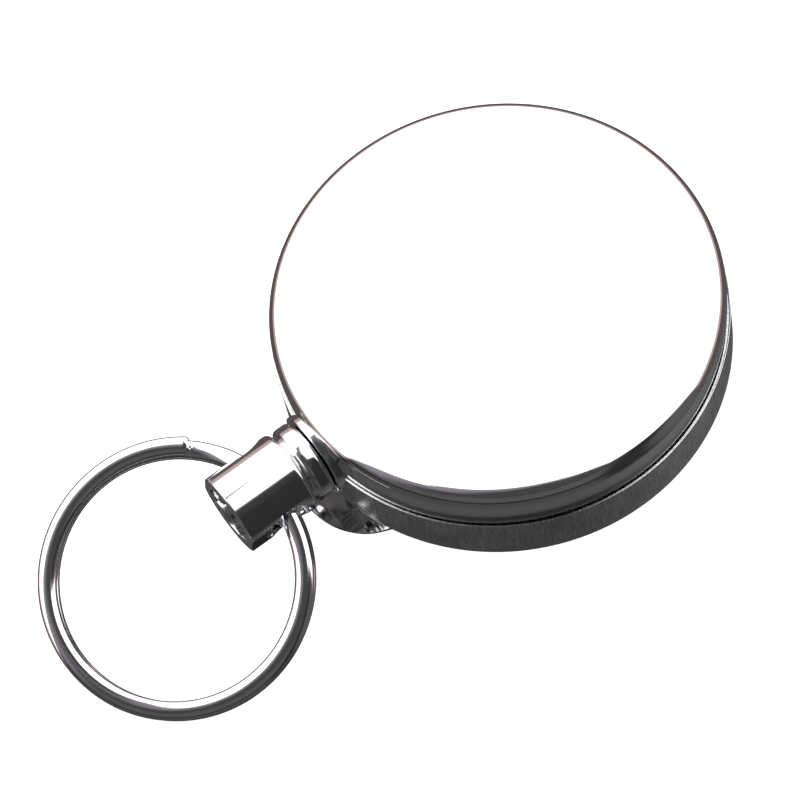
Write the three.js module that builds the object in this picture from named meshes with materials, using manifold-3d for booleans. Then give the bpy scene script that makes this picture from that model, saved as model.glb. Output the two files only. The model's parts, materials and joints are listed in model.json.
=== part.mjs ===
// Retractable badge reel: a round chromed case with a spring-driven spool, a steel cable that ends in a
// swivelling barrel, a split ring through the barrel, and a sprung belt clip on the back.
// Millimetres. +Z is the disc's axis, out of the front face. The cable leaves along -Y.
// The origin is on the disc's axis, at the underside of the clip, where the reel lies on a table.
import * as THREE from 'three';
import { mergeVertices } from 'three/addons/utils/BufferGeometryUtils.js';
import Module from 'manifold-3d';

const wasm = await Module();
wasm.setup();

// ---- Driving dimensions ----
const GAP = 0.3;                        // between pieces that touch on the real object

const CASE_RADIUS = 20;                 // rear case, outside
const COVER_RADIUS = CASE_RADIUS - 0.2; // front cover, so that the rear case shows a fine ledge at the seam
const CASE_BACK = 3.4;                  // height of the case's back face above the clip's underside
const CASE_THICKNESS = 9.6;
const CASE_FRONT = CASE_BACK + CASE_THICKNESS;
const SHEET = 0.7;                      // drawn sheet of the two case shells
const SEAM = CASE_BACK + 5.4;           // lower edge of the front cover's skirt
const FRONT_FILLET = 1.4;
const BACK_FILLET = 0.8;
const NECK_TOP = CASE_FRONT - 2.1;      // the rear case's neck ends here, inside the skirt
const PLATE_RADIUS = 18.25;             // polished disc let into the front cover
const PLATE_THICKNESS = 0.45;
const PLATE_STEP = 0.05;                // the disc lies this much below the rim
const CASE_SEGMENTS = 64;

const AXIS_HEIGHT = 8.2;                // cable and barrel axis
const CABLE_RADIUS = 0.4;
const CABLE_LENGTH = 600;               // wound length, which is also the barrel's travel

const BOSS = { width: 7.8, height: 7.6, face: 20.3, corner: 3.6 };
const BUSHING_NECK = 5;                 // square neck that passes through the case wall
const BUSHING_INNER = 17.5;             // inner face, measured from the disc's axis
const EYELET = { bore: 0.7, outer: 1.15, flare: 1.7 };

const COLLAR_START = 20.4;
const COLLAR_END = 22.1;
const COLLAR_RADIUS = 3.65;
const BARREL_START = 22.4;
const BARREL_END = 29.25;
const BARREL_RADIUS = 3.8;
const BARREL_FLATS = { half: 3.45, end: 25.35, runOut: 5.3 };  // past the cross hole, with a round run-out
const WAIST_RADIUS = 3.4;
const BORE_RADIUS = 2.6;
const BORE_DEPTH = 6;
const HOLE = { at: 25.5, length: 4.3, height: 3.8 };   // cross hole that holds the ring

const RING_RADIUS = 11.25;              // middle of the wire
const RING_WIRE = { radial: 0.85, axial: 0.49 };        // half sizes of the wire's section
const RING_COIL_OFFSET = 0.54;          // each coil's middle, from the ring's middle plane
const RING_PIVOT = 25;
const RING_ROLL = 14;                   // degrees: barrel and ring rolled about the cable's axis
const RING_YAW = 7;
const RING_DROOP = 14.5;

const CLIP_WIDTH = 16.4;
const CLIP_SHEET = 0.7;
const CLIP_BEND = { y: 16.1, z: 1.55 };  // centre of the fold at the top of the clip
const CLIP_BEND_RADIUS = 1.55;
const CLIP_BASE_END = -9;
const CLIP_CONTACT = -15.6;             // where the arm meets the case back
const CLIP_TIP = -22.2;
const RIVETS = { upper: 11, lower: -6 };
const RIVET_SHANK = 0.85;

const SPOOL_WEB = { bottom: 5.75, top: 6.25 };
const SPOOL_HUB = { inner: 11.2, outer: 12.2, top: 9.95 };
const FLANGE = { radius: 16.7, bottom: 10.2, top: 10.6 };
const POST_RADIUS = 1.9;
const POST_TOP = 11.3;
const WINDING_RADIUS = SPOOL_HUB.outer + 0.15 + CABLE_RADIUS;
const WINDING_PITCH = 0.9;              // between turns, and between layers
const TURNS_PER_LAYER = 3;
const SPRING = { start: 2.9, pitch: 0.76, turns: 10, thickness: 0.25, bottom: 6.55, top: 9.5 };

const rad = THREE.MathUtils.degToRad;

// ---- Materials ----
const finish = (color, roughness, metalness = 1) =>
  new THREE.MeshStandardMaterial({ color, roughness, metalness });
const CHROME = finish(0xd9dade, 0.08);
const MIRROR = finish(0xf4f4f6, 0.04);
const BRUSHED = finish(0xb8b9bd, 0.22);
const BRIGHT_STEEL = finish(0xc8c9cc, 0.15);
const SPRING_STEEL = finish(0x7f868e, 0.3);
const CABLE_STEEL = finish(0xa9abad, 0.35);
const BRASS = finish(0xc9a45c, 0.3);
const ACETAL = finish(0xe8e6df, 0.5, 0);

// ---- Solid helpers ----

// A closed geometry with shared vertices and its faces pointing out.
function closed(geometry) {
  geometry.deleteAttribute('normal');
  geometry.deleteAttribute('uv');
  const merged = mergeVertices(geometry, 1e-4);
  const corners = merged.index.array;
  const p = merged.attributes.position;
  const a = new THREE.Vector3();
  const b = new THREE.Vector3();
  const c = new THREE.Vector3();
  const kept = [];
  let volume = 0;
  for (let i = 0; i < corners.length; i += 3) {
    const [u, v, w] = [corners[i], corners[i + 1], corners[i + 2]];
    if (u === v || v === w || w === u) continue;
    kept.push([u, v, w]);
    volume += a.fromBufferAttribute(p, u).dot(b.fromBufferAttribute(p, v).cross(c.fromBufferAttribute(p, w)));
  }
  const outward = volume < 0 ? kept.map(([u, v, w]) => [u, w, v]) : kept;
  merged.setIndex(outward.flat());
  return merged;
}

function toManifold(geometry) {
  const g = closed(geometry);
  return new wasm.Manifold(new wasm.Mesh({
    numProp: 3,
    vertProperties: Float32Array.from(g.attributes.position.array),
    triVerts: Uint32Array.from(g.index.array),
  }));
}

function toGeometry(manifold) {
  const mesh = manifold.getMesh();
  const g = new THREE.BufferGeometry();
  g.setAttribute('position', new THREE.BufferAttribute(Float32Array.from(mesh.vertProperties), 3));
  g.setIndex(Array.from(mesh.triVerts));
  return g;
}

const cut = (geometry, ...tools) =>
  toGeometry(tools.reduce((solid, tool) => solid.subtract(toManifold(tool)), toManifold(geometry)));
const join = (geometry, ...others) =>
  toGeometry(others.reduce((solid, other) => solid.add(toManifold(other)), toManifold(geometry)));

// A turned body about +Z from a profile of [radius, height] points. A profile that does not run from axis
// to axis is closed on itself.
function turned(profile, segments = CASE_SEGMENTS) {
  const points = profile.map(([r, z]) => new THREE.Vector2(r, z));
  const last = points[points.length - 1];
  if (points[0].x > 0 || last.x > 0) points.push(points[0].clone());
  return closed(new THREE.LatheGeometry(points, segments).rotateX(Math.PI / 2));
}

const ringBand = (inner, outer, bottom, top, segments) =>
  turned([[inner, bottom], [outer, bottom], [outer, top], [inner, top]], segments);

// The points of an arc in a profile, from one angle to another in degrees.
function arc(r, z, radius, from, to, steps = 5) {
  return Array.from({ length: steps + 1 }, (_, i) => {
    const t = rad(from + ((to - from) * i) / steps);
    return [r + radius * Math.cos(t), z + radius * Math.sin(t)];
  });
}

function box(sizeX, sizeY, sizeZ, x, y, z) {
  return new THREE.BoxGeometry(sizeX, sizeY, sizeZ).translate(x, y, z);
}

// A body turned about the cable's axis, from [radius, distance from the disc's axis] points.
function turnedOnCable(profile, segments) {
  return turned(profile, segments).rotateX(Math.PI / 2);
}

// An outline in X and Y, extruded from one height to another.
function plate(shape, bottom, top, curveSegments = 16) {
  const options = { depth: top - bottom, bevelEnabled: false, curveSegments };
  return new THREE.ExtrudeGeometry(shape, options).translate(0, 0, bottom);
}

// A round cable along a curve, with flat ends.
function cableAlong(curve, steps, sides = 8) {
  const section = new THREE.Shape();
  for (let i = 0; i < sides; i++) {
    const t = (2 * Math.PI * i) / sides;
    const [x, y] = [CABLE_RADIUS * Math.cos(t), CABLE_RADIUS * Math.sin(t)];
    if (i === 0) section.moveTo(x, y);
    else section.lineTo(x, y);
  }
  return closed(new THREE.ExtrudeGeometry(section, { steps, bevelEnabled: false, extrudePath: curve }));
}

// A curve given by a function of 0 to 1.
class Route extends THREE.Curve {
  constructor(at) {
    super();
    this.at = at;
  }
  getPoint(t, target = new THREE.Vector3()) {
    return target.copy(this.at(t));
  }
}

// ---- Case ----

// Drawn cap: a skirt, a rounded rim and a shallow seat for the face plate.
function frontCover() {
  const seat = CASE_FRONT - PLATE_STEP - PLATE_THICKNESS - GAP;
  const shell = turned([
    [COVER_RADIUS - SHEET, SEAM],
    [COVER_RADIUS, SEAM],
    ...arc(COVER_RADIUS - FRONT_FILLET, CASE_FRONT - FRONT_FILLET, FRONT_FILLET, 0, 90),
    [PLATE_RADIUS + GAP, CASE_FRONT - 0.02],
    [PLATE_RADIUS + GAP, seat],
    [0, seat],
    [0, seat - SHEET],
    [COVER_RADIUS - SHEET - 0.6, seat - SHEET],
    [COVER_RADIUS - SHEET, seat - SHEET - 0.6],
  ]);
  const slotTop = AXIS_HEIGHT + BUSHING_NECK / 2 + GAP;
  const slot = box(BUSHING_NECK + 2 * GAP, 6, 8, 0, -CASE_RADIUS, slotTop - 4);
  return cut(shell, slot);
}

function facePlate() {
  const top = CASE_FRONT - PLATE_STEP;
  return turned([[0, top - PLATE_THICKNESS], [PLATE_RADIUS, top - PLATE_THICKNESS],
    [PLATE_RADIUS, top - 0.1], [PLATE_RADIUS - 0.1, top], [0, top]]);
}

// Drawn cup with a narrower neck that the skirt laps over.
function rearCase() {
  const neck = COVER_RADIUS - SHEET - GAP;
  const shell = turned([
    [0, CASE_BACK],
    ...arc(CASE_RADIUS - BACK_FILLET, CASE_BACK + BACK_FILLET, BACK_FILLET, -90, 0, 4),
    [CASE_RADIUS, SEAM - GAP],
    [neck, SEAM - GAP],
    [neck, NECK_TOP],
    [neck - 0.6, NECK_TOP],
    [neck - 0.6, CASE_BACK + SHEET + 0.5],
    [neck - 1, CASE_BACK + SHEET + 0.1],
    [0, CASE_BACK + SHEET + 0.1],
  ]);
  const slotBottom = AXIS_HEIGHT - BUSHING_NECK / 2 - GAP;
  const slot = box(BUSHING_NECK + 2 * GAP, 6, 8, 0, -CASE_RADIUS, slotBottom + 4);
  const holes = Object.values(RIVETS).map((y) => drill(RIVET_SHANK + GAP, 0, y));
  return cut(shell, slot, drill(1.5 + GAP, 0, 0), ...holes);
}

// A tool that makes a round hole through the case back and the clip.
function drill(radius, x, y) {
  return new THREE.CylinderGeometry(radius, radius, 8, 20).rotateX(Math.PI / 2).translate(x, y, CASE_BACK);
}

// ---- Cable exit ----

function roundedRectangle(width, height, corner) {
  const [x, y] = [width / 2, height / 2];
  const shape = new THREE.Shape();
  shape.moveTo(-x + corner, -y);
  shape.lineTo(x - corner, -y);
  shape.absarc(x - corner, -y + corner, corner, -Math.PI / 2, 0);
  shape.lineTo(x, y - corner);
  shape.absarc(x - corner, y - corner, corner, 0, Math.PI / 2);
  shape.lineTo(-x + corner, y);
  shape.absarc(-x + corner, y - corner, corner, Math.PI / 2, Math.PI);
  shape.lineTo(-x, -y + corner);
  shape.absarc(-x + corner, -y + corner, corner, Math.PI, 1.5 * Math.PI);
  return shape;
}

// A block along the cable's axis, between two distances from the disc's axis.
function exitBlock(width, height, corner, inner, outer) {
  const block = plate(roundedRectangle(width, height, corner), inner, outer, 4);
  return block.rotateX(Math.PI / 2).translate(0, 0, AXIS_HEIGHT);
}

// Outer boss, neck through the wall and inner flange, bored for the eyelet.
function cableBushing() {
  const boss = exitBlock(BOSS.width, BOSS.height, BOSS.corner, 15, BOSS.face);
  const wall = ringBand(0.01, CASE_RADIUS + 0.1, CASE_BACK - 1, CASE_FRONT + 1);
  const outside = cut(boss, wall);
  const neck = exitBlock(BUSHING_NECK, BUSHING_NECK, 0.6, BUSHING_INNER, BOSS.face - 0.05);
  const flange = exitBlock(BOSS.width - 1.2, BUSHING_NECK + 1, 0.8, BUSHING_INNER, BUSHING_INNER + 0.4);
  const bore = turnedOnCable([[0, 16], [EYELET.outer + GAP, 16], [EYELET.outer + GAP, 22], [0, 22]], 20);
  return cut(join(outside, neck, flange), bore.translate(0, 0, AXIS_HEIGHT));
}

// Wear sleeve with a flare at its inner mouth.
function bushingEyelet() {
  const inner = BUSHING_INNER - GAP - 0.3;
  return turnedOnCable([
    [EYELET.flare - 0.3, inner], [EYELET.flare, inner], [EYELET.flare, inner + 0.3],
    [EYELET.outer, inner + 0.35], [EYELET.outer, BOSS.face - 0.1],
    [EYELET.bore, BOSS.face - 0.1], [EYELET.bore, inner + 1.1], [EYELET.bore + 0.2, inner + 0.5],
  ], 20).translate(0, 0, AXIS_HEIGHT);
}

// ---- Spool ----

// Fixed shaft: a foot inside, a tail riveted over the clip outside, a slot for the spring, a groove for
// the retaining ring.
function centerPost() {
  const tailHead = CASE_BACK - GAP - CLIP_SHEET - 0.25;
  const shaft = turned([
    [0, tailHead - 0.6], [1.6, tailHead - 0.6], [2.3, tailHead - 0.25], [2.3, tailHead],
    [1.5, tailHead], [1.5, CASE_BACK + SHEET + 0.4],
    [4.4, CASE_BACK + SHEET + 0.4], [4.4, CASE_BACK + SHEET + 0.9],
    [POST_RADIUS, CASE_BACK + SHEET + 0.9], [POST_RADIUS, 10.7], [1.5, 10.7], [1.5, 11.05],
    [POST_RADIUS, 11.05], [POST_RADIUS, POST_TOP - 0.2], [POST_RADIUS - 0.2, POST_TOP], [0, POST_TOP],
  ], 24);
  const slot = box(6, SPRING.thickness + 2 * GAP, 5, 0, 0, SPRING.bottom - 0.15 + 2.5);
  return cut(shaft, slot);
}

// C-shaped ring in the post's groove.
function retainingRing() {
  const band = ringBand(1.65, 3.4, 10.75, 11, 24);
  return cut(band, box(4, 2.4, 2, 2.6, 0, 11));
}

const washer = (bottom, top) => ringBand(2.35, 4.2, bottom, top, 24);

// Web, hub wall and lower flange in one piece.
function spoolDrum() {
  return turned([
    [2.3, SPOOL_WEB.bottom], [FLANGE.radius, SPOOL_WEB.bottom], [FLANGE.radius, SPOOL_WEB.top],
    [SPOOL_HUB.outer, SPOOL_WEB.top], [SPOOL_HUB.outer, SPOOL_HUB.top],
    [SPOOL_HUB.inner, SPOOL_HUB.top], [SPOOL_HUB.inner, SPOOL_WEB.top], [2.3, SPOOL_WEB.top],
  ], 48);
}

const spoolFlange = () => ringBand(SPOOL_HUB.inner, FLANGE.radius, FLANGE.bottom, FLANGE.top, 48);
const springCover = () => ringBand(2.6, SPOOL_HUB.inner - GAP, SPRING.top + 0.25, 10.05, 48);

// Flat strip wound in a spiral, its inner end in the post's slot and its outer end at the hub wall.
function mainspring() {
  const stepsPerTurn = 22;
  const middle = [[0.5, 0], [1.5, 0]];
  for (let i = 1; i <= SPRING.turns * stepsPerTurn; i++) {
    const t = (2 * Math.PI * i) / stepsPerTurn;
    const r = SPRING.start + (SPRING.pitch * t) / (2 * Math.PI);
    middle.push([r * Math.cos(t), r * Math.sin(t)]);
  }
  const half = SPRING.thickness / 2;
  const side = (sign) => middle.map(([x, y], i) => {
    const [x0, y0] = middle[Math.max(i - 1, 0)];
    const [x1, y1] = middle[Math.min(i + 1, middle.length - 1)];
    const length = Math.hypot(x1 - x0, y1 - y0);
    return new THREE.Vector2(x - (sign * half * (y1 - y0)) / length, y + (sign * half * (x1 - x0)) / length);
  });
  const outline = [...side(-1), ...side(1).reverse()];
  return plate(new THREE.Shape(outline), SPRING.bottom, SPRING.top);
}

// ---- Cable ----

// The wound length as layers of a helix, inner layer first. It ends at the angle where the cable leaves
// for the point where it turns into the eyelet.
const EYELET_ENTRY = BUSHING_INNER - 0.8;
const TANGENT_ANGLE = -Math.PI / 2 - Math.acos((WINDING_RADIUS + 2 * WINDING_PITCH) / EYELET_ENTRY);

function layerOf(turn) {
  return THREE.MathUtils.clamp(Math.floor(turn / TURNS_PER_LAYER), 0, 2);
}

function windingRadiusAt(turn) {
  const layer = layerOf(turn);
  const intoLayer = turn - layer * TURNS_PER_LAYER;
  const climb = layer === 0 ? 1 : Math.min(intoLayer / 0.3, 1);
  const below = Math.max(layer - 1, 0);
  return WINDING_RADIUS + WINDING_PITCH * (below + (layer - below) * climb);
}

function windingHeightAt(turn) {
  const layer = layerOf(turn);
  const intoLayer = turn - layer * TURNS_PER_LAYER;
  const low = SPOOL_WEB.top + 0.15 + CABLE_RADIUS;
  const rise = WINDING_PITCH * intoLayer;
  return layer % 2 === 0 ? low + rise : low + WINDING_PITCH * TURNS_PER_LAYER - rise;
}

// Turns needed to hold the cable's length.
const WOUND_TURNS = (() => {
  const step = 0.01;
  let turn = 0;
  for (let length = 0; length < CABLE_LENGTH; turn += step) {
    length += 2 * Math.PI * windingRadiusAt(turn) * step;
  }
  return turn;
})();

function windingPoint(turn) {
  const angle = TANGENT_ANGLE - 2 * Math.PI * (WOUND_TURNS - turn);
  const r = windingRadiusAt(turn);
  return new THREE.Vector3(r * Math.cos(angle), r * Math.sin(angle), windingHeightAt(turn));
}

function cableWound() {
  const route = new Route((t) => windingPoint(t * (WOUND_TURNS - 0.02)));
  return cableAlong(route, Math.round(WOUND_TURNS * 32), 6);
}

// The cable's end fitting, seated in the corner of hub and web.
function cableAnchor() {
  const start = windingPoint(-0.015);
  return new THREE.SphereGeometry(0.48, 12, 8).translate(start.x, start.y, start.z);
}

const INNER_RUN_END = EYELET_ENTRY + 1.2;

// From the winding to the bushing, turning into the cable's axis. It starts where it is clear of the turning
// winding.
function cableInnerRun() {
  const start = windingPoint(WOUND_TURNS).setZ(AXIS_HEIGHT);
  const along = new THREE.Vector3(-Math.sin(TANGENT_ANGLE), Math.cos(TANGENT_ANGLE), 0);
  const outside = WINDING_RADIUS + 2 * WINDING_PITCH + 2 * CABLE_RADIUS + 0.1;
  start.addScaledVector(along, Math.sqrt(outside ** 2 - (WINDING_RADIUS + 2 * WINDING_PITCH) ** 2));
  const entry = new THREE.Vector3(0, -EYELET_ENTRY, AXIS_HEIGHT);
  const points = [
    start,
    entry.clone().addScaledVector(along, -0.9),
    new THREE.Vector3(-0.1, -(EYELET_ENTRY + 0.4), AXIS_HEIGHT),
    new THREE.Vector3(0, -INNER_RUN_END, AXIS_HEIGHT),
  ];
  return cableAlong(new THREE.CatmullRomCurve3(points), 12);
}

const CABLE_END = 21.35;

function cableOuterRun() {
  const start = INNER_RUN_END + GAP;
  const line = new THREE.LineCurve3(
    new THREE.Vector3(0, -start, AXIS_HEIGHT), new THREE.Vector3(0, -CABLE_END, AXIS_HEIGHT));
  return cableAlong(line, 2);
}

// Swaged sleeve on the cable's end, held behind the collar's shoulder.
function cableStop() {
  const start = CABLE_END + 0.1;
  return turnedOnCable([[0, start], [1, start], [1.25, start + 0.2], [1.25, COLLAR_END - 0.1],
    [0, COLLAR_END - 0.1]], 16).translate(0, 0, AXIS_HEIGHT);
}

// ---- Barrel and ring. Both are built about the cable's axis, before their roll. ----

function barrelCollar() {
  const round = 0.45;
  return turnedOnCable([
    [0.7, COLLAR_START],
    ...arc(COLLAR_RADIUS - round, COLLAR_START + round, round, -90, 0, 3),
    ...arc(COLLAR_RADIUS - round, COLLAR_END - round, round, 0, 60, 3),
    [WAIST_RADIUS - 0.1, COLLAR_END],
    [1.55, COLLAR_END],
    [1.55, COLLAR_START + 0.6],
    [0.7, COLLAR_START + 0.6],
  ], 40);
}

// Tube with a closed inner end, an open mouth and a cross hole.
function ringBarrel() {
  const round = 0.4;
  const edge = 0.12;
  const tube = turnedOnCable([
    [0, BARREL_START],
    [WAIST_RADIUS - 0.05, BARREL_START],
    ...arc(BARREL_RADIUS - round, BARREL_START + 0.35 + round, round, -70, 0, 3),
    [BARREL_RADIUS, BARREL_END - edge],
    [BARREL_RADIUS - edge, BARREL_END],
    [BORE_RADIUS + edge, BARREL_END],
    [BORE_RADIUS, BARREL_END - edge],
    [BORE_RADIUS, BARREL_END - BORE_DEPTH],
    [0, BARREL_END - BORE_DEPTH],
  ], 40);
  const outline = roundedRectangle(HOLE.length, HOLE.height, HOLE.height / 2 - 0.02);
  const hole = plate(outline, -6, 6, 8).rotateY(Math.PI / 2).rotateX(Math.PI / 2).translate(0, -HOLE.at, 0);
  return cut(tube, hole, flatCutter(1), flatCutter(-1));
}

// A tool that mills one side of the barrel flat from its mouth, with a round run-out behind the hole.
function flatCutter(side) {
  const { half, end, runOut } = BARREL_FLATS;
  const shape = new THREE.Shape();
  shape.moveTo(side * half, -BARREL_END - 1);
  shape.lineTo(side * half, -end);
  shape.absarc(side * (half + runOut), -end, runOut, side > 0 ? Math.PI : 0, Math.PI / 2, side > 0);
  shape.lineTo(side * (half + runOut), -BARREL_END - 1);
  return plate(shape, -6, 6, 24);
}

// Two coils of one wire. Angles are measured from the pivot, and the middle of the wire steps down from
// the upper to the lower coil just past it, beside the upper coil's cut end.
function splitRing() {
  const [start, stepFrom, stepTo, end] = [40, 362, 398, 718].map(rad);
  const steps = 104;
  const sides = 8;
  const rings = [];
  for (let i = 0; i <= steps; i++) {
    const t = start + ((end - start) * i) / steps;
    const drop = THREE.MathUtils.smoothstep(t, stepFrom, stepTo);
    const height = RING_COIL_OFFSET * (1 - 2 * drop);
    rings.push(Array.from({ length: sides }, (_, k) => {
      const around = (2 * Math.PI * (k + 0.5)) / sides;
      const r = RING_RADIUS + (RING_WIRE.radial / Math.cos(Math.PI / sides)) * Math.cos(around);
      const z = height + (RING_WIRE.axial / Math.cos(Math.PI / sides)) * Math.sin(around);
      return [r * Math.sin(-t), r * Math.cos(t) - RING_RADIUS, z];
    }));
  }
  const positions = rings.flat(2);
  const index = [];
  for (let i = 0; i < steps; i++) {
    for (let k = 0; k < sides; k++) {
      const [a, b] = [i * sides + k, i * sides + ((k + 1) % sides)];
      index.push(a, b, a + sides, b, b + sides, a + sides);
    }
  }
  const last = steps * sides;
  for (let k = 1; k < sides - 1; k++) {
    index.push(0, k + 1, k, last, last + k, last + k + 1);
  }
  const wire = new THREE.BufferGeometry();
  wire.setAttribute('position', new THREE.Float32BufferAttribute(positions, 3));
  wire.setIndex(index);
  return closed(wire);
}

// ---- Belt clip ----

// A strip of sheet that follows a side outline of [y, z] points, from -X to +X.
function strip(outline) {
  const shape = new THREE.Shape(outline.map(([y, z]) => new THREE.Vector2(y, z)));
  const body = new THREE.ExtrudeGeometry(shape, { depth: CLIP_WIDTH, bevelEnabled: false });
  return body.rotateY(Math.PI / 2).rotateX(Math.PI / 2).translate(-CLIP_WIDTH / 2, 0, 0);
}

// The points on both sides of a middle line, as one closed outline.
function thickened(middle) {
  const half = CLIP_SHEET / 2;
  const side = (sign) => middle.map(([y, z], i) => {
    const [y0, z0] = middle[Math.max(i - 1, 0)];
    const [y1, z1] = middle[Math.min(i + 1, middle.length - 1)];
    const length = Math.hypot(y1 - y0, z1 - z0);
    return [y - (sign * half * (z1 - z0)) / length, z + (sign * half * (y1 - y0)) / length];
  });
  return [...side(1), ...side(-1).reverse()];
}

// Points of the fold, by angle in degrees from +Y.
const bend = (from, to, steps) =>
  arc(CLIP_BEND.y, CLIP_BEND.z, CLIP_BEND_RADIUS - CLIP_SHEET / 2, from, to, steps);

// Rounds the strip's free end in plan, with a straight part left behind it.
function roundedEnd(body, endY) {
  const keep = new THREE.Shape();
  const half = CLIP_WIDTH / 2;
  keep.moveTo(half + 1, 25);
  keep.lineTo(-half - 1, 25);
  keep.lineTo(-half - 1, endY + half);
  keep.lineTo(-half, endY + half);
  keep.absarc(0, endY + half, half, Math.PI, 2 * Math.PI);
  keep.lineTo(half + 1, endY + half);
  return toGeometry(toManifold(body).intersect(toManifold(plate(keep, -5, 10, 20))));
}

function clipBase() {
  const level = CLIP_BEND.z + CLIP_BEND_RADIUS - CLIP_SHEET / 2;
  const middle = [...bend(14, 90, 7), [CLIP_BASE_END, level]];
  const body = roundedEnd(strip(thickened(middle)), CLIP_BASE_END);
  const holes = Object.values(RIVETS).map((y) => drill(RIVET_SHANK + GAP, 0, y));
  return cut(body, drill(1.5 + GAP, 0, 0), ...holes);
}

// Sprung arm: flat along the table, up to the case back, then flared away to let a belt in.
function clipArm() {
  const low = CLIP_SHEET / 2;
  const high = CASE_BACK - GAP - CLIP_SHEET / 2;
  const middle = [
    ...bend(-8, -90, 7), [-7.6, low], [-9.2, low + 0.2], [-13.4, high - 0.45], [-14.6, high - 0.06],
    [CLIP_CONTACT, high], [-16.8, high - 0.15], [-18.4, high - 0.75], [CLIP_TIP, low + 0.25],
  ];
  return roundedEnd(strip(thickened(middle)), CLIP_TIP);
}

function clipRivet(y) {
  const head = CASE_BACK - GAP - CLIP_SHEET - 0.25;
  const inside = CASE_BACK + SHEET + 0.35;
  return turned([
    [0, head - 0.55], [1.1, head - 0.5], [1.75, head - 0.15], [1.75, head], [RIVET_SHANK, head],
    [RIVET_SHANK, inside], [1.6, inside], [1.6, inside + 0.3], [1.2, inside + 0.5], [0, inside + 0.5],
  ], 20).translate(0, y, 0);
}

// ---- Assembly ----

function node(name, geometry, material) {
  const mesh = new THREE.Mesh(closed(geometry), material);
  mesh.name = name;
  return mesh;
}

const reel = new THREE.Group();

reel.add(
  node('front_cover', frontCover(), CHROME),
  node('face_plate', facePlate(), MIRROR),
  node('rear_case', rearCase(), BRUSHED),
  node('cable_bushing', cableBushing(), CHROME),
  node('bushing_eyelet', bushingEyelet(), BRASS),
  node('center_post', centerPost(), BRIGHT_STEEL),
  node('retaining_ring', retainingRing(), SPRING_STEEL),
  node('lower_washer', washer(5.25, 5.5), BRASS),
  node('upper_washer', washer(10.3, 10.5), BRASS),
  node('clip_base', clipBase(), CHROME),
  node('clip_rivet_upper', clipRivet(RIVETS.upper), BRIGHT_STEEL),
  node('clip_rivet_lower', clipRivet(RIVETS.lower), BRIGHT_STEEL),
  node('clip_arm', clipArm(), CHROME),
);

reel.add(
  node('spool_drum', spoolDrum(), ACETAL),
  node('spool_flange', spoolFlange(), ACETAL),
  node('spring_cover', springCover(), BRIGHT_STEEL),
  node('mainspring', mainspring(), SPRING_STEEL),
  node('cable_wound', cableWound(), CABLE_STEEL),
  node('cable_anchor', cableAnchor(), BRASS),
  node('cable_inner_run', cableInnerRun(), CABLE_STEEL),
  node('cable_outer_run', cableOuterRun(), CABLE_STEEL),
  node('cable_stop', cableStop(), BRASS),
);

const swivel = new THREE.Group();
swivel.position.z = AXIS_HEIGHT;
swivel.rotation.y = rad(RING_ROLL);
swivel.add(
  node('barrel_collar', barrelCollar(), CHROME),
  node('ring_barrel', ringBarrel(), CHROME),
);

const ringYaw = new THREE.Group();
ringYaw.position.y = -RING_PIVOT;
ringYaw.rotation.z = rad(RING_YAW);
const splitRingMesh = node('split_ring', splitRing(), BRIGHT_STEEL);
splitRingMesh.rotation.x = rad(RING_DROOP);
ringYaw.add(splitRingMesh);
swivel.add(ringYaw);
reel.add(swivel);

export default reel;
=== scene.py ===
import json
import math

import bmesh
import bpy
from mathutils import Matrix, Vector


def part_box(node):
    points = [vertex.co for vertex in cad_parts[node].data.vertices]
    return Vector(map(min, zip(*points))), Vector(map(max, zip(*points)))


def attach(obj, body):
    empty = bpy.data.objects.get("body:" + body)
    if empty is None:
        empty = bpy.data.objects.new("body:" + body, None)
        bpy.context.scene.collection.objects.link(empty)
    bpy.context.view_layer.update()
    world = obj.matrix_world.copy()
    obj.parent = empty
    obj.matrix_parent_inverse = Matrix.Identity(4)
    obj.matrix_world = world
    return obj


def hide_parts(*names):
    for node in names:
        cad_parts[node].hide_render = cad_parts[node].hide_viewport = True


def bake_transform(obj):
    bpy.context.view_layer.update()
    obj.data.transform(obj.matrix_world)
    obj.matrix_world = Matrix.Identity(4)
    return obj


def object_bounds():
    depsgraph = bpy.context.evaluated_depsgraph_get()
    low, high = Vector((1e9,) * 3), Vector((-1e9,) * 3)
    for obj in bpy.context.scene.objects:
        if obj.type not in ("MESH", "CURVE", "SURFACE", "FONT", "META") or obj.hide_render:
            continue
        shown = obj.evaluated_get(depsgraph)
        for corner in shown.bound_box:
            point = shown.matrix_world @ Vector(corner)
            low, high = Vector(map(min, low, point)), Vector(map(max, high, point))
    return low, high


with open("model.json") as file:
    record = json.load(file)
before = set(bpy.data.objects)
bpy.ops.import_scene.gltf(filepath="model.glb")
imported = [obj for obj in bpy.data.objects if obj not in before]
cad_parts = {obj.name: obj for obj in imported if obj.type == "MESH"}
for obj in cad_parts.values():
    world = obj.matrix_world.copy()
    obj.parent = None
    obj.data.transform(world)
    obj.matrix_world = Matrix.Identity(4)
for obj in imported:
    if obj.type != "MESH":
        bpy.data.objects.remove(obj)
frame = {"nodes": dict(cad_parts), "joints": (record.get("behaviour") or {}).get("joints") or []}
CAD_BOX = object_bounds()
MM = 0.001


# ---- What the CAD says, in millimetres ----

def mm_box(node):
    low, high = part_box(node)
    return low / MM, high / MM


cover_low, cover_high = mm_box("front_cover")
rear_low, rear_high = mm_box("rear_case")
plate_low, plate_high = mm_box("face_plate")
bushing_low, bushing_high = mm_box("cable_bushing")
collar_low, collar_high = mm_box("barrel_collar")
barrel_low, barrel_high = mm_box("ring_barrel")
eyelet_low, eyelet_high = mm_box("bushing_eyelet")
post_low, post_high = mm_box("center_post")
base_low, base_high = mm_box("clip_base")
arm_low, arm_high = mm_box("clip_arm")
run_low, run_high = mm_box("cable_outer_run")

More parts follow.
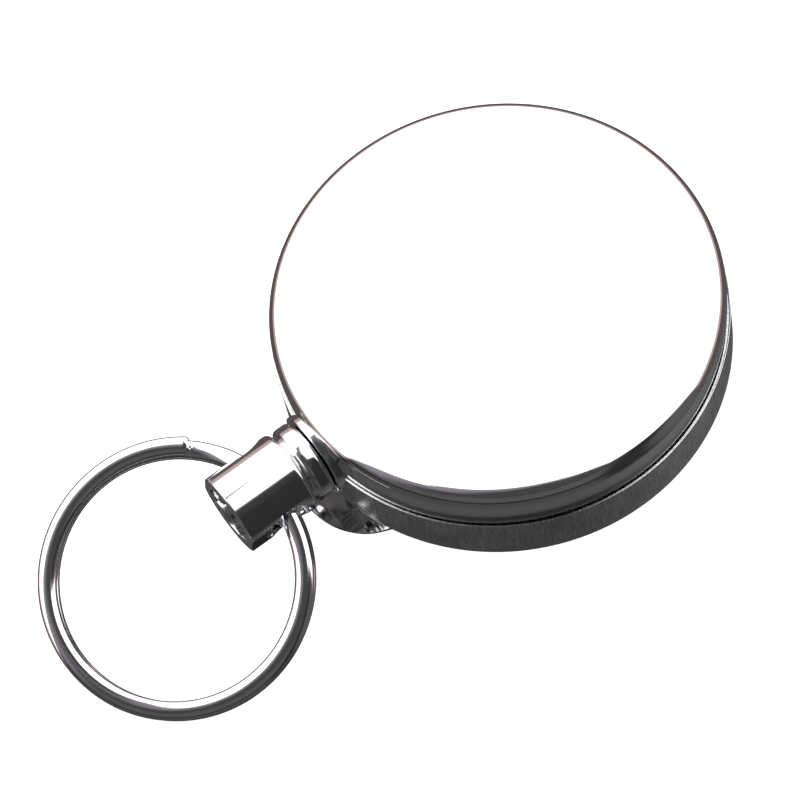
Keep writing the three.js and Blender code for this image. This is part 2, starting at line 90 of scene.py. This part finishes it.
COVER_R = cover_high.x
REAR_R = rear_high.x
SEAM = cover_low.z
FRONT = cover_high.z
BACK = rear_low.z
PLATE_R = plate_high.x

# The ring's hinge axis holds the roll about the cable and the ring's yaw.
JOINTS = {joint["name"]: joint for joint in frame["joints"]}
hinge = Vector(JOINTS["ring_swing"]["axis"])
AXIS = JOINTS["ring_swing"]["pos_m"][2] / MM
PIVOT = JOINTS["ring_swing"]["pos_m"][1] / MM
ROLL = math.atan2(-hinge.z, hinge.x)
YAW = math.asin(hinge.y)
DROOP = math.radians(14.5)
ON_AXIS = Matrix.Translation((0, 0, AXIS))
SWIVEL = ON_AXIS @ Matrix.Rotation(ROLL, 4, "Y")


# ---- Mesh helpers: everything is built in millimetres, then scaled once ----

def to_object(bm, name, sharp=None):
    """The bmesh as an object in metres, smooth, with edges over `sharp` degrees kept sharp."""
    bmesh.ops.remove_doubles(bm, verts=bm.verts, dist=1e-5)
    bmesh.ops.recalc_face_normals(bm, faces=bm.faces)
    bmesh.ops.scale(bm, vec=(MM, MM, MM), verts=bm.verts)
    mesh = bpy.data.meshes.new(name)
    bm.to_mesh(mesh)
    bm.free()
    mesh.shade_smooth()
    if sharp:
        mesh.set_sharp_from_angle(angle=math.radians(sharp))
    obj = bpy.data.objects.new(name, mesh)
    bpy.context.collection.objects.link(obj)
    return obj


def applied(obj):
    """The object with its modifiers applied."""
    depsgraph = bpy.context.evaluated_depsgraph_get()
    mesh = bpy.data.meshes.new_from_object(obj.evaluated_get(depsgraph))
    obj.modifiers.clear()
    obj.data = mesh
    return obj


def bevelled(obj, width, segments, angle):
    bevel = obj.modifiers.new("edges", "BEVEL")
    bevel.width = width * MM
    bevel.segments = segments
    bevel.limit_method = "ANGLE"
    bevel.angle_limit = math.radians(angle)
    bevel.miter_outer = "MITER_ARC"
    return applied(obj)


def weighted(obj, sharp=None):
    if sharp:
        obj.data.shade_smooth()
        obj.data.set_sharp_from_angle(angle=math.radians(sharp))
    obj.modifiers.new("normals", "WEIGHTED_NORMAL").keep_sharp = True
    return applied(obj)


def subtract(obj, tool):
    boolean = obj.modifiers.new("cut", "BOOLEAN")
    boolean.operation = "DIFFERENCE"
    boolean.object = tool
    boolean.solver = "EXACT"
    applied(obj)
    bpy.data.objects.remove(tool)


def arc(r, z, radius, start, end, steps):
    """Points of an arc, by angle in degrees from outwards towards +z."""
    angles = (math.radians(start + (end - start) * k / steps) for k in range(steps + 1))
    return [(r + radius * math.cos(a), z + radius * math.sin(a)) for a in angles]


def lathe(profile, segments=256, closed=True):
    """A body turned about +Z from (radius, z) points."""
    bm = bmesh.new()
    rings = []
    for r, z in profile:
        count = segments if r > 1e-6 else 1
        rings.append([bm.verts.new((r * math.cos(2 * math.pi * k / segments),
                                    r * math.sin(2 * math.pi * k / segments), z)) for k in range(count)])
    pairs = list(zip(rings, rings[1:]))
    if closed:
        pairs.append((rings[-1], rings[0]))
    for a, b in pairs:
        for k in range(segments):
            n = (k + 1) % segments
            corners = (a if len(a) == 1 else [a[n], a[k]]) + (b if len(b) == 1 else [b[k], b[n]])
            if len(corners) > 2:
                bm.faces.new(corners)
    return bm


def on_cable(bm, place):
    """Turns a body from +Z to the cable's axis, where z becomes the distance along -Y, and places it."""
    bmesh.ops.transform(bm, matrix=place @ Matrix.Rotation(math.pi / 2, 4, "X"), verts=bm.verts)
    return bm


def skin(bm, loops):
    """Joins loops of vertices that follow one another, with flat ends."""
    for a, b in zip(loops, loops[1:]):
        for k in range(len(a)):
            n = (k + 1) % len(a)
            bm.faces.new((a[k], a[n], b[n], b[k]))
    bm.faces.new(loops[0])
    bm.faces.new(list(reversed(loops[-1])))
    return bm


def slab(outline, depth, place, name):
    """An outline extruded along its normal, both ways, and placed by a matrix."""
    bm = bmesh.new()
    skin(bm, [[bm.verts.new((x, y, z)) for x, y in outline] for z in (-depth, depth)])
    bmesh.ops.transform(bm, matrix=place, verts=bm.verts)
    return to_object(bm, name)


# ---- Materials ----

class Nodes:
    """A material's node tree, with short ways to add and link."""

    def __init__(self, name, color, metallic=1.0, roughness=0.1):
        self.material = bpy.data.materials.new(name)
        self.material.use_nodes = True
        self.tree = self.material.node_tree
        self.shader = self.tree.nodes["Principled BSDF"]
        self.shader.inputs["Base Color"].default_value = (*color, 1)
        self.shader.inputs["Metallic"].default_value = metallic
        self.shader.inputs["Roughness"].default_value = roughness

    def add(self, kind, inputs=(), **settings):
        node = self.tree.nodes.new(kind)
        for key, value in settings.items():
            setattr(node, key, value)
        for key, value in dict(inputs).items():
            self.put(value, node.inputs[key])
        return node

    def put(self, value, socket):
        if isinstance(value, bpy.types.NodeSocket):
            self.tree.links.new(value, socket)
        else:
            socket.default_value = value

    def math(self, operation, *values):
        node = self.add("ShaderNodeMath", operation=operation)
        for value, socket in zip(values, node.inputs):
            self.put(value, socket)
        return node.outputs[0]

    def step(self, value, start, end):
        """0 below start, 1 above end, smooth between."""
        return self.add("ShaderNodeMapRange", {"Value": value, "From Min": start, "From Max": end},
                        interpolation_type="SMOOTHSTEP").outputs["Result"]

    def mix(self, factor, a, b):
        node = self.add("ShaderNodeMix", data_type="RGBA")
        self.put(factor, node.inputs["Factor"])
        colors = [socket for socket in node.inputs if socket.type == "RGBA"]
        self.put(a, colors[0])
        self.put(b, colors[1])
        return next(socket for socket in node.outputs if socket.type == "RGBA")

    def ramp(self, factor, stops):
        node = self.add("ShaderNodeValToRGB", {"Fac": factor})
        elements = node.color_ramp.elements
        while len(elements) < len(stops):
            elements.new(0.5)
        for element, (position, color) in zip(elements, stops):
            element.position = position
            element.color = (*color, 1)
        return node.outputs["Color"]

    def noise(self, vector, scale, detail=3.0, roughness=0.5):
        return self.add("ShaderNodeTexNoise", {"Vector": vector, "Scale": scale, "Detail": detail,
                                               "Roughness": roughness}).outputs["Fac"]

    def place(self):
        return self.add("ShaderNodeTexCoord").outputs["Object"]

    def bump(self, height, strength, distance):
        node = self.add("ShaderNodeBump", {"Height": height, "Strength": strength, "Distance": distance})
        self.put(node.outputs["Normal"], self.shader.inputs["Normal"])


def polished(name, color, roughness, waviness, smudge):
    """Plated metal: uneven polish, fine rub marks and a faintly wavy surface."""
    n = Nodes(name, color)
    place = n.place()
    broad = n.noise(place, 260, 2)
    fine = n.noise(place, 2600, 4, 0.6)
    mixed = n.math("ADD", n.math("MULTIPLY", broad, 0.6), n.math("MULTIPLY", fine, 0.4))
    n.put(n.math("ADD", n.math("MULTIPLY", mixed, smudge), roughness - smudge / 2),
          n.shader.inputs["Roughness"])
    n.put(n.ramp(broad, [(0.3, tuple(c * 0.93 for c in color)), (0.7, color)]), n.shader.inputs["Base Color"])
    n.bump(mixed, waviness, 0.00002)
    return n.material


def brushed_around(name, color, roughness, depth):
    """Drawn and brushed wall: fine lines along the disc's axis, broken by soft patches."""
    n = Nodes(name, color)
    place = n.place()
    parts = n.add("ShaderNodeSeparateXYZ", {"Vector": place}).outputs
    lined = n.add("ShaderNodeCombineXYZ", {"X": n.math("ARCTAN2", parts["Y"], parts["X"]),
                                           "Y": n.math("MULTIPLY", parts["Z"], 5.0)}).outputs[0]
    lines = n.noise(lined, 90, 5, 0.7)
    amount = n.math("MULTIPLY", lines, n.math("ADD", n.math("MULTIPLY", n.noise(place, 320), 0.8), 0.5))
    n.put(n.math("ADD", n.math("MULTIPLY", amount, 0.22), roughness), n.shader.inputs["Roughness"])
    n.put(n.ramp(amount, [(0.3, tuple(c * 0.55 for c in color)), (0.62, color)]),
          n.shader.inputs["Base Color"])
    n.bump(lines, depth, 0.00003)
    return n.material


def moulded(name, color):
    """Acetal with a fine moulded grain."""
    n = Nodes(name, color, 0.0, 0.45)
    grain = n.noise(n.place(), 5200)
    n.put(n.ramp(grain, [(0.3, tuple(c * 0.94 for c in color)), (0.7, color)]), n.shader.inputs["Base Color"])
    n.put(n.math("ADD", n.math("MULTIPLY", grain, 0.2), 0.36), n.shader.inputs["Roughness"])
    n.bump(grain, 0.25, 0.00002)
    return n.material


CHROME = polished("bright_chrome", (0.92, 0.92, 0.94), 0.06, 0.14, 0.03)
MIRROR = polished("mirror_plate", (0.97, 0.97, 0.98), 0.05, 0.06, 0.02)
CASE = brushed_around("brushed_case", (0.92, 0.92, 0.93), 0.1, 0.35)
NICKEL = polished("ring_nickel", (0.9, 0.9, 0.92), 0.09, 0.3, 0.08)
STEEL = polished("zinc_steel", (0.7, 0.7, 0.72), 0.22, 0.3, 0.12)
BLUED = polished("blued_spring_steel", (0.36, 0.4, 0.47), 0.25, 0.3, 0.1)
ROPE = polished("rope_steel", (0.62, 0.62, 0.63), 0.28, 0.6, 0.15)
BRASS = polished("bare_brass", (0.82, 0.62, 0.3), 0.2, 0.2, 0.12)
ACETAL = moulded("acetal", (0.86, 0.85, 0.81))


def piece(obj, body, material, slot, *nodes):
    obj.data.materials.clear()
    obj.data.materials.append(material)
    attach(obj, body)
    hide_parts(*nodes)


# ---- Case ----

# Front cover: flat rim, rounded edge, a skirt that tucks in a little towards the seam.
SHEET = 0.7
EDGE = 1.4
seat = plate_low.z - 0.02
cover = lathe([
    (COVER_R - SHEET, SEAM - 0.35), (COVER_R - 0.06, SEAM - 0.35), (COVER_R - 0.045, SEAM + 0.6),
    (COVER_R - 0.012, SEAM + 1.25), (COVER_R, SEAM + 1.75),
    *arc(COVER_R - EDGE, FRONT - EDGE, EDGE, 0, 90, 26),
    (PLATE_R + 0.012, FRONT), (PLATE_R + 0.006, FRONT - 0.006), (PLATE_R + 0.006, seat),
    (0, seat), (0, seat - SHEET),
    (COVER_R - SHEET - 0.8, seat - SHEET), (COVER_R - SHEET, seat - SHEET - 0.8)], 384)
piece(weighted(to_object(cover, "front_shell", 35)), "case", CHROME, "chrome", "front_cover")

top = FRONT - 0.002
plate = lathe([
    (0, plate_low.z), (PLATE_R, plate_low.z), (PLATE_R, top - 0.01), (PLATE_R - 0.01, top), (0, top)],
    384, closed=False)
piece(weighted(to_object(plate, "polished_plate", 35)), "case", MIRROR, "mirror_plate", "face_plate")

# Rear case: drawn cup whose lip shows as a fine ledge that narrows towards +Y, and a neck inside the cover.
neck = COVER_R - SHEET - 0.3
LIP_R = REAR_R - 0.1
LIP_ROUND = 0.05
rear = lathe([
    (0, BACK), *arc(REAR_R - 0.45, BACK + 0.45, 0.45, -90, 0, 8),
    *arc(REAR_R - LIP_ROUND, SEAM - 0.08, LIP_ROUND, 0, 90, 5),
    (LIP_R, SEAM - 0.03), (COVER_R, SEAM - 0.4), (neck, SEAM - 0.4), (neck, rear_high.z),
    (neck - 0.6, rear_high.z), *arc(neck - 1.4, BACK + 1.6, 0.8, 0, -90, 6),
    (0, BACK + 0.8)], 384, closed=False)
for vert in rear.verts:
    if abs(vert.co.xy.length - LIP_R) < 0.001:
        width = max(0.01, 0.045 - 0.11 * (0.5 * vert.co.x + 0.87 * vert.co.y) / LIP_R)
        vert.co.xy *= (REAR_R - LIP_ROUND - width) / LIP_R
piece(weighted(to_object(rear, "rear_shell", 35)), "case", CASE, "brushed_case", "rear_case")

# Cable exit: a round boss through the wall, bored for the eyelet.
boss_r = bushing_high.x
boss_end = -bushing_low.y
boss = lathe([
    (1.3, REAR_R - 1.6), (boss_r - 0.1, REAR_R - 1.6), *arc(boss_r - 0.12, boss_end - 0.12, 0.12, 0, 90, 4),
    (1.4, boss_end), (1.3, boss_end - 0.1)], 160)
boss = weighted(to_object(on_cable(boss, ON_AXIS), "exit_boss", 35))
piece(boss, "case", CHROME, "chrome", "cable_bushing")

eyelet_end = -eyelet_low.y
flare = (eyelet_high.x - eyelet_low.x) / 2
inner = -eyelet_high.y
eyelet = lathe([
    (flare - 0.3, inner), *arc(flare - 0.12, inner + 0.12, 0.12, -90, 90, 6), (1.3, inner + 0.3),
    (1.15, inner + 0.45), (1.15, eyelet_end - 0.08), (1.07, eyelet_end), (0.82, eyelet_end),
    (0.7, eyelet_end - 0.12), (0.7, inner + 1.1), (0.8, inner + 0.6), (1.0, inner + 0.2)], 96)
eyelet = weighted(to_object(on_cable(eyelet, ON_AXIS), "wear_eyelet", 50))
piece(eyelet, "case", BRASS, "brass", "bushing_eyelet")


# Rivets through the clip's base, headed on both sides.
def domed_head(radius, low, seat_z):
    """Profile of a low domed head, from its crown to its edge."""
    return [(0, low), (radius * 0.35, low + 0.01), (radius * 0.65, low + 0.06), (radius * 0.86, low + 0.17),
            (radius * 0.97, low + 0.32), (radius, low + 0.42), (radius, seat_z)]


def rivet(name, node):
    low, high = mm_box(node)
    shank = 0.85
    body = lathe([
        *domed_head((high.x - low.x) / 2, low.z, low.z + 0.55), (shank, low.z + 0.56), (shank, high.z - 0.5),
        (1.6, high.z - 0.49), (1.6, high.z - 0.2), (1.45, high.z - 0.08), (1.1, high.z),
        (0, high.z)], 96, closed=False)
    bmesh.ops.translate(body, vec=(0, (low.y + high.y) / 2, 0), verts=body.verts)
    piece(weighted(to_object(body, name, 40)), "case", STEEL, "steel", node)


rivet("rivet_upper", "clip_rivet_upper")
rivet("rivet_lower", "clip_rivet_lower")

# Centre post: riveted tail, shoulder, grooved shaft, and a slot for the spring's inner end.
POST_R = 1.9
SHOULDER = BACK + 1.1
GROOVE = 10.7
spring_low, _ = mm_box("mainspring")
post = lathe([
    *domed_head(2.3, post_low.z, post_low.z + 0.6), (1.5, post_low.z + 0.61), (1.5, SHOULDER),
    (4.3, SHOULDER), (4.4, SHOULDER + 0.1), (4.4, SHOULDER + 0.4), (4.3, SHOULDER + 0.5),
    (POST_R, SHOULDER + 0.5), (POST_R, GROOVE), (1.5, GROOVE), (1.5, GROOVE + 0.35), (POST_R, GROOVE + 0.35),
    (POST_R, post_high.z - 0.2), (POST_R - 0.2, post_high.z), (0, post_high.z)], 96, closed=False)
post = to_object(post, "spring_post")
subtract(post, slab([(-3, -0.42), (3, -0.42), (3, 0.42), (-3, 0.42)], 2.5,
                    Matrix.Translation((0, 0, spring_low.z + 2.35)), "slot"))
piece(weighted(post, 40), "case", STEEL, "steel", "center_post")


# ---- Swivelling end ----

def cable_span(low, high):
    """Where a body starts and ends along the cable, measured from the disc's axis."""
    return -high.y, -low.y


COLLAR_R = 3.65
start, end = cable_span(collar_low, collar_high)
collar = lathe([
    (0.75, start), (3.25, start), *arc(COLLAR_R - 0.5, start + 0.5, 0.5, -72, 0, 7),
    *arc(COLLAR_R - 0.45, end - 0.42, 0.45, 0, 64, 7), (3.3, end), (3.2, end + 0.22), (1.6, end + 0.22),
    (1.6, start + 0.6), (0.75, start + 0.6)], 192)
collar = weighted(to_object(on_cable(collar, SWIVEL), "swivel_collar", 40))
piece(collar, "barrel", CHROME, "chrome", "barrel_collar")

# Ring barrel: tube with a bell shoulder, milled flats where the ring passes and a cross hole.
BARREL_R, BORE = 3.8, 2.6
start, end = cable_span(barrel_low, barrel_high)
tube = lathe([
    (0, start - 0.04), (3.25, start - 0.04), (3.3, start + 0.02),
    *arc(BARREL_R - 0.5, start + 0.52, 0.5, -72, 0, 8),
    *arc(BARREL_R - 0.12, end - 0.12, 0.12, 0, 90, 4), *arc(BORE + 0.12, end - 0.12, 0.12, 90, 180, 4),
    (BORE, end - 5.8), (BORE - 0.2, end - 6), (0, end - 6)], 256, closed=False)
tube = to_object(on_cable(tube, Matrix()), "ring_tube")
FLAT, FLAT_END, RUN_OUT = 3.45, end - 3.9, 5.3
for side in (1, -1):
    outline = [(side * FLAT, -end - 2), *((side * (FLAT + RUN_OUT - x), y - FLAT_END)
                                          for x, y in arc(0, 0, RUN_OUT, 0, 60, 16)),
               (side * 9, -20.5), (side * 9, -end - 2)]
    subtract(tube, slab(outline, 6, Matrix(), "flat"))
HOLE_AT, HOLE_LONG, HOLE_HIGH = end - 3.85, 4.7, 4.3
straight = (HOLE_LONG - HOLE_HIGH) / 2
outline = [*arc(straight, 0, HOLE_HIGH / 2, -90, 90, 24), *arc(-straight, 0, HOLE_HIGH / 2, 90, 270, 24)]
across = Matrix(((0, 0, 1, 0), (1, 0, 0, -HOLE_AT), (0, 1, 0, 0), (0, 0, 0, 1)))
subtract(tube, slab(outline, 6, across, "hole"))
bevelled(tube, 0.07, 2, 24)
tube.data.transform(Matrix.Translation((0, 0, AXIS * MM)) @ Matrix.Rotation(ROLL, 4, "Y"))
piece(weighted(tube, 35), "barrel", CHROME, "chrome", "ring_barrel")


# ---- Split ring: two coils of one wire, which steps from the upper to the lower past the pivot ----

RING_R, WIRE_R, WIRE_Z, COIL = 11.25, 0.85, 0.51, 0.53
FIRST, STEP_FROM, STEP_TO, LAST = (math.radians(a) for a in (40, 362, 398, 718))
STEPS, SIDES = 620, 28
bm = bmesh.new()
loops = []
for i in range(STEPS + 1):
    t = FIRST + (LAST - FIRST) * i / STEPS
    u = max(0, min(1, (t - STEP_FROM) / (STEP_TO - STEP_FROM)))
    spring = max(0, 1 - (t - FIRST) / 1.1) ** 2
    height = COIL * (1 - 2 * u * u * (3 - 2 * u)) + 0.35 * spring
    to_end = min(1, min(t - FIRST, LAST - t) * RING_R / 0.2)
    size = 0.86 + 0.14 * math.sqrt(1 - (1 - to_end) ** 2)
    loop = []
    for c, s in arc(0, 0, size, 0, 360 - 360 / SIDES, SIDES - 1):
        r = RING_R + 0.22 * spring + WIRE_R * c
        loop.append(bm.verts.new((-r * math.sin(t), r * math.cos(t) - RING_R, height + WIRE_Z * s)))
    loops.append(loop)
skin(bm, loops)
lean = Matrix.Rotation(YAW, 4, "Z") @ Matrix.Rotation(DROOP, 4, "X")
bmesh.ops.transform(bm, matrix=SWIVEL @ Matrix.Translation((0, PIVOT, 0)) @ lean, verts=bm.verts)
piece(weighted(to_object(bm, "split_ring_wire", 50)), "ring", NICKEL, "ring_steel", "split_ring")


# ---- Belt clip: one strip from the base round the fold to the scooped free end ----

HALF_WIDTH = arm_high.x
TIP, BASE_END = arm_low.y, base_low.y
BASE_Z = BACK - 0.3 - SHEET / 2
LOW_Z = SHEET / 2
FOLD_R = (BASE_Z - LOW_Z) / 2
FOLD_Y, FOLD_Z = base_high.y - FOLD_R - SHEET / 2, (BASE_Z + LOW_Z) / 2
base_line = [(y, BASE_Z) for y in (BASE_END, -6, -2, 4, 10, 15)]
fold_line = arc(FOLD_Y, FOLD_Z, FOLD_R, 90, -90, 18)
arm_line = [(15, LOW_Z), (10, LOW_Z), (4, LOW_Z), (-2, LOW_Z), (-6, LOW_Z), (-7.6, LOW_Z),
            (-9.2, LOW_Z + 0.2), (-11.3, (LOW_Z + BASE_Z) / 2 - 0.12), (-13.4, BASE_Z - 0.4),
            (-14.6, BASE_Z - 0.06), (-15.6, BASE_Z), (-16.9, BASE_Z - 0.13), (-18.3, BASE_Z - 0.62),
            (-19.6, BASE_Z - 1.25), (-21.0, BASE_Z - 1.68), (TIP, BASE_Z - 1.8)]


def smooth_line(points, per_mm):
    """The points of a smooth curve through the given ones, evenly spread."""
    points = [Vector(p) for p in points]
    slopes = []
    for i, here in enumerate(points):
        before, after = points[max(i - 1, 0)], points[min(i + 1, len(points) - 1)]
        slopes.append((after - before) / ((here - before).length + (after - here).length))
    out = []
    for a, b, start_slope, end_slope in zip(points, points[1:], slopes, slopes[1:]):
        length = (b - a).length
        steps = max(2, round(length * per_mm))
        for t in (k / steps for k in range(steps)):
            out.append((2 * t ** 3 - 3 * t ** 2 + 1) * a + (3 * t ** 2 - 2 * t ** 3) * b
                       + ((t ** 3 - 2 * t ** 2 + t) * start_slope + (t ** 3 - t ** 2) * end_slope) * length)
    return out + [points[-1]]


def clip_row(bm, y, z, end_y, dish):
    """One row across the strip, narrowed near its rounded end."""
    into_end = max(0, min(1, (end_y + HALF_WIDTH - y) / HALF_WIDTH))
    half = max(0.6, HALF_WIDTH * math.sqrt(1 - into_end ** 2))
    across = [-half * math.cos(math.pi * k / COLUMNS) for k in range(COLUMNS + 1)]
    return [bm.verts.new((x, y, z - dish * (x / HALF_WIDTH) ** 2)) for x in across]


COLUMNS = 28
bm = bmesh.new()
rows = [clip_row(bm, y, z, BASE_END, 0) for y, z in smooth_line(base_line + fold_line[:9], 5)]
for y, z in smooth_line(fold_line[9:] + arm_line, 6):
    rows.append(clip_row(bm, y, z, TIP, 0.45 * max(0, min(1, (-15 - y) / 6))))
for a, b in zip(rows, rows[1:]):
    for k in range(COLUMNS):
        bm.faces.new((a[k], a[k + 1], b[k + 1], b[k]))
strip = to_object(bm, "belt_clip_strip")
solid = strip.modifiers.new("sheet", "SOLIDIFY")
solid.thickness = SHEET * MM
solid.offset = 0
solid.use_even_offset = True
applied(strip)
bevelled(strip, 0.14, 3, 50)
strip.data.materials.append(CHROME)
weighted(strip, 45)
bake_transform(strip)
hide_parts("clip_base", "clip_arm")


# ---- Cable between the case and the pulled end: a laid wire rope ----

ROPE_R, STRANDS = 0.4, 7
rope_start, rope_end = -run_high.y, -run_low.y
bm = bmesh.new()
loops = []
for i in range(65):
    s = i / 64
    loop = []
    for k in range(STRANDS * 6):
        a = 2 * math.pi * k / (STRANDS * 6)
        r = ROPE_R * (0.84 + 0.16 * math.sqrt(abs(math.sin(a * STRANDS / 2))))
        a += 2 * math.pi * s * 1.2
        along = rope_start + (rope_end - rope_start) * s
        loop.append(bm.verts.new((r * math.cos(a), -along, AXIS + r * math.sin(a))))
    loops.append(loop)
rope = to_object(skin(bm, loops), "pulled_cable", 60)
rope.data.materials.append(ROPE)
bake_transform(rope)
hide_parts("cable_outer_run")


# ---- Carried-over CAD nodes ----

for names, material in (
        (("spool_drum", "spool_flange"), ACETAL),
        (("mainspring", "retaining_ring"), BLUED),
        (("cable_wound", "cable_inner_run"), ROPE),
        (("lower_washer", "upper_washer", "cable_anchor", "cable_stop"), BRASS),
        (("spring_cover",), STEEL)):
    for name in names:
        node = frame["nodes"][name]
        node.data.materials.clear()
        node.data.materials.append(material)


# ---- Floor, studio light and camera ----

AZIMUTH, ELEVATION, TILT = math.radians(66.15), math.radians(62.245), math.radians(14.219)

paper = Nodes("paper_floor", (0.95, 0.95, 0.95), 0.0, 0.9)
paper.shader.inputs["Emission Color"].default_value = (1, 1, 1, 1)
paper.shader.inputs["Emission Strength"].default_value = 0.75
floor_mesh = bpy.data.meshes.new("floor")
far, floor_z = 6.0, CAD_BOX[0][2] - 0.00002
corners = [(x * far, y * far, floor_z) for x, y in ((-1, -1), (1, -1), (1, 1), (-1, 1))]
floor_mesh.from_pydata(corners, [], [(0, 1, 2, 3)])
floor = bpy.data.objects.new("floor", floor_mesh)
bpy.context.collection.objects.link(floor)
floor.data.materials.append(paper.material)
floor.visible_glossy = False


class Studio(Nodes):
    """The world: plain white light, and what bright metal mirrors of the room.

    Directions are told by three parts: `near` towards the camera's side, `side` to its right, and `up`.
    """

    def __init__(self):
        world = bpy.data.worlds.new("studio")
        bpy.context.scene.world = world
        world.use_nodes = True
        self.tree = world.node_tree
        self.tree.nodes.clear()
        direction = self.add("ShaderNodeTexCoord").outputs["Generated"]
        near = self.part(direction, (math.sin(AZIMUTH), -math.cos(AZIMUTH), 0))
        side = self.part(direction, (math.cos(AZIMUTH), math.sin(AZIMUTH), 0))
        up = self.part(direction, (0, 0, 1))
        rightward = self.math("MAXIMUM", side, 0)

        # Dark half of the room, from the floor's dark edge up: floor, wall, skirting line, lit wall, ceiling.
        room = self.ramp(self.math("MULTIPLY_ADD", up, 0.5, 0.5), [
            (0.0, (0.016, 0.016, 0.016)), (0.035, (0.02, 0.02, 0.02)), (0.05, (0.085, 0.085, 0.086)),
            (0.3, (0.07, 0.07, 0.07)), (0.51, (0.062, 0.062, 0.062)), (0.55, (0.02, 0.02, 0.021)),
            (0.6, (0.03, 0.03, 0.03)), (0.65, (0.095, 0.092, 0.092)), (0.85, (0.085, 0.083, 0.085)),
            (0.89, (0.055, 0.055, 0.056)), (1.0, (0.06, 0.06, 0.06))])
        deep = self.math("MULTIPLY", self.step(side, 0.3, 0.46), self.step(side, 0.8, 0.6))
        deep = self.math("MULTIPLY", deep, self.step(up, -0.7, -0.4))
        room = self.mix(deep, room, (0.026, 0.026, 0.027, 1))
        far_right = self.math("MULTIPLY", self.step(side, 0.6, 0.8), self.step(up, -0.9, -0.8))
        room = self.mix(far_right, room, (0.1, 0.1, 0.102, 1))
        low_right = self.math("MULTIPLY", self.step(side, 0.1, 0.9), self.step(up, -0.7, -0.85))
        room = self.mix(low_right, room, (0.19, 0.19, 0.2, 1))

        # Large soft screen over the far side, with a dim fringe towards the camera and a warm far edge.
        edges = ((0.0, 0.62), (0.15, 0.56), (0.275, 0.5), (0.38, 0.475),
                 (0.45, 0.37), (0.505, 0.32), (0.55, 0.48), (0.645, 0.66))
        screen_edge = self.ramp(self.math("MULTIPLY_ADD", side, 0.5, 0.5),
                                [(at, (edge, edge, edge)) for at, edge in edges])
        past = self.math("SUBTRACT", near, self.math("MULTIPLY_ADD", screen_edge, 2.0, -1.0))
        narrowing = self.math("MINIMUM", self.math("MULTIPLY", rightward, 2.0), 0.24)
        fringe_width = self.math("SUBTRACT", 0.3, narrowing)
        fringe = self.step(self.math("DIVIDE", past, fringe_width), 1.2, 0.3)
        color = self.mix(self.math("MULTIPLY", fringe, self.step(up, 0.3, 0.6)), room, (0.27, 0.24, 0.27, 1))
        lit = self.mix(self.step(up, -0.12, 0.06), (0.11, 0.085, 0.085, 1), (0.55, 0.42, 0.4, 1))
        lit = self.mix(self.step(up, 0.17, 0.3), lit, (1.7, 1.7, 1.72, 1))
        lit = self.mix(self.step(up, -0.75, -0.5), room, lit)
        color = self.mix(self.math("SUBTRACT", 1, self.step(past, -0.02, 0.03)), color, lit)

        glossy = self.add("ShaderNodeBackground", {"Color": color})
        plain = self.add("ShaderNodeBackground", {"Color": (1, 1, 1, 1)})
        glossy_ray = self.add("ShaderNodeLightPath").outputs["Is Glossy Ray"]
        chosen = self.add("ShaderNodeMixShader", {"Fac": glossy_ray})
        self.put(plain.outputs[0], chosen.inputs[1])
        self.put(glossy.outputs[0], chosen.inputs[2])
        self.put(chosen.outputs[0], self.add("ShaderNodeOutputWorld").inputs["Surface"])

    def part(self, direction, axis):
        node = self.add("ShaderNodeVectorMath", operation="DOT_PRODUCT")
        self.put(direction, node.inputs[0])
        node.inputs[1].default_value = axis
        return node.outputs["Value"]


Studio()
bpy.context.scene.view_settings.view_transform = "Standard"

# A long lens at the photograph's angle and slight tilt.
right0 = Vector((1, 0, 0))
up0 = Vector((0, math.sin(ELEVATION), math.cos(ELEVATION)))
back = Vector((0, -math.cos(ELEVATION), math.sin(ELEVATION)))
right = math.cos(TILT) * right0 - math.sin(TILT) * up0
up = math.sin(TILT) * right0 + math.cos(TILT) * up0
turn = Matrix.Rotation(AZIMUTH, 3, "Z") @ Matrix((right, up, back)).transposed()
FRAMING = Vector((-9.216, -4.843, 351.511))     # right, up and back from the case, in the camera's own axes
LIFT = 3.82                                      # height of the point that the framing is measured from
place = turn @ FRAMING + Vector((0, 0, LIFT))
camera_data = bpy.data.cameras.new("camera")
camera_data.lens = 180
camera_data.sensor_width = 36
camera_data.clip_start = 0.01
camera_data.clip_end = 50
camera = bpy.data.objects.new("camera", camera_data)
bpy.context.collection.objects.link(camera)
camera.matrix_world = Matrix.Translation(place * MM) @ turn.to_4x4()
bpy.context.scene.camera = camera
